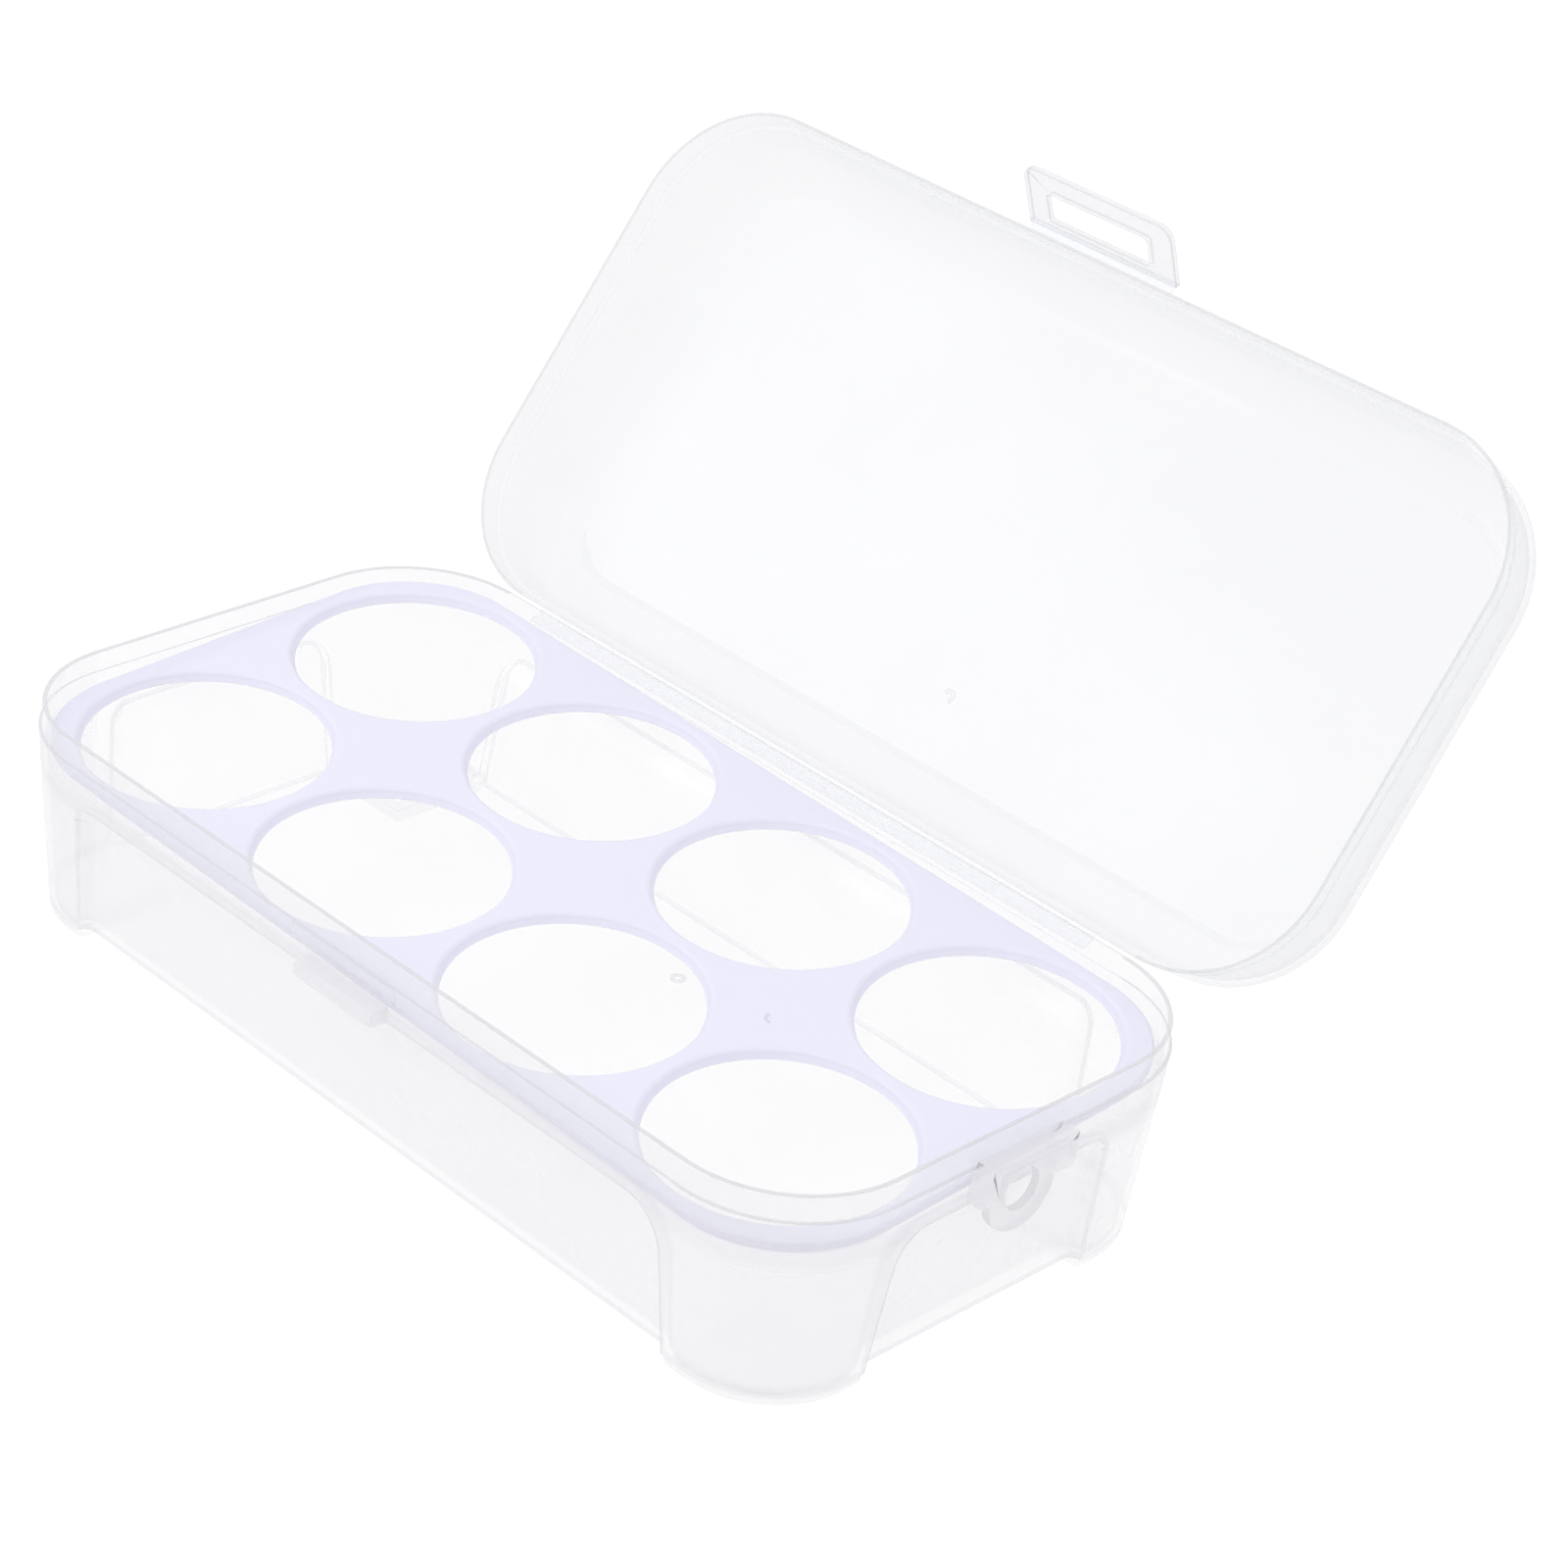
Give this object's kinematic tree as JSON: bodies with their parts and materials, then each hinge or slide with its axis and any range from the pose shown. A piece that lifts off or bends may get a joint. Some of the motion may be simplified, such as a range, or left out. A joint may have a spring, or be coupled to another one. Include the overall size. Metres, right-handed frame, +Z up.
{
  "type": "egg tray",
  "caption": "Low hinged translucent egg box on four corner feet, with a loose flat rack of round egg holes, a living-hinge lid, a fold-over latch flap and a hanging eyelet.",
  "frame": {"origin": "centre of the open tray's box in x and y, at the height of the feet's undersides", "axes": "+X along the tray towards the end with the hanging eyelet, +Y from the catch side to the hinge side, +Z up"},
  "size_m": [0.2134, 0.188, 0.1421],
  "materials": {
    "clear_polypropylene": "translucent milky-clear moulded polypropylene, satin",
    "clear_polypropylene_lid": "translucent milky-clear moulded polypropylene, satin to gloss inside",
    "clear_polypropylene_hinge": "thin flexed translucent polypropylene",
    "clear_polypropylene_latch": "translucent polypropylene, slightly darker where it is thick",
    "lavender_polypropylene": "pale lavender moulded polypropylene, satin"
  },
  "bodies": {
    "base": {"base_tub": "clear_polypropylene", "catch_boss": "clear_polypropylene_latch", "hanging_eyelet": "clear_polypropylene_latch", "hinge_leaf_base": "clear_polypropylene_hinge", "hinge_web": "clear_polypropylene_hinge"},
    "lid": {"lid_shell": "clear_polypropylene_lid", "hinge_leaf_lid": "clear_polypropylene_hinge", "latch_web": "clear_polypropylene_hinge"},
    "latch": {"latch_flap": "clear_polypropylene_latch"},
    "rack": {"egg_rack": "lavender_polypropylene"}
  },
  "joints": [
    {"name": "lid_hinge", "type": "hinge", "parent": "base", "child": "lid", "pos_m": [-0.00195, 0.01768, 0.03999], "axis": [1, 0, 0], "range_deg": [-54.2, 125.8]},
    {"name": "latch_pivot", "type": "hinge", "parent": "lid", "child": "latch", "pos_m": [-0.00195, 0.08124, 0.12929], "axis": [1, 0, 0], "range_deg": [-57, 33]},
    {"name": "rack_lift", "type": "slide", "parent": "base", "child": "rack", "axis": [0, 0, 1], "range_m": [0, 0.008]}
  ]
}
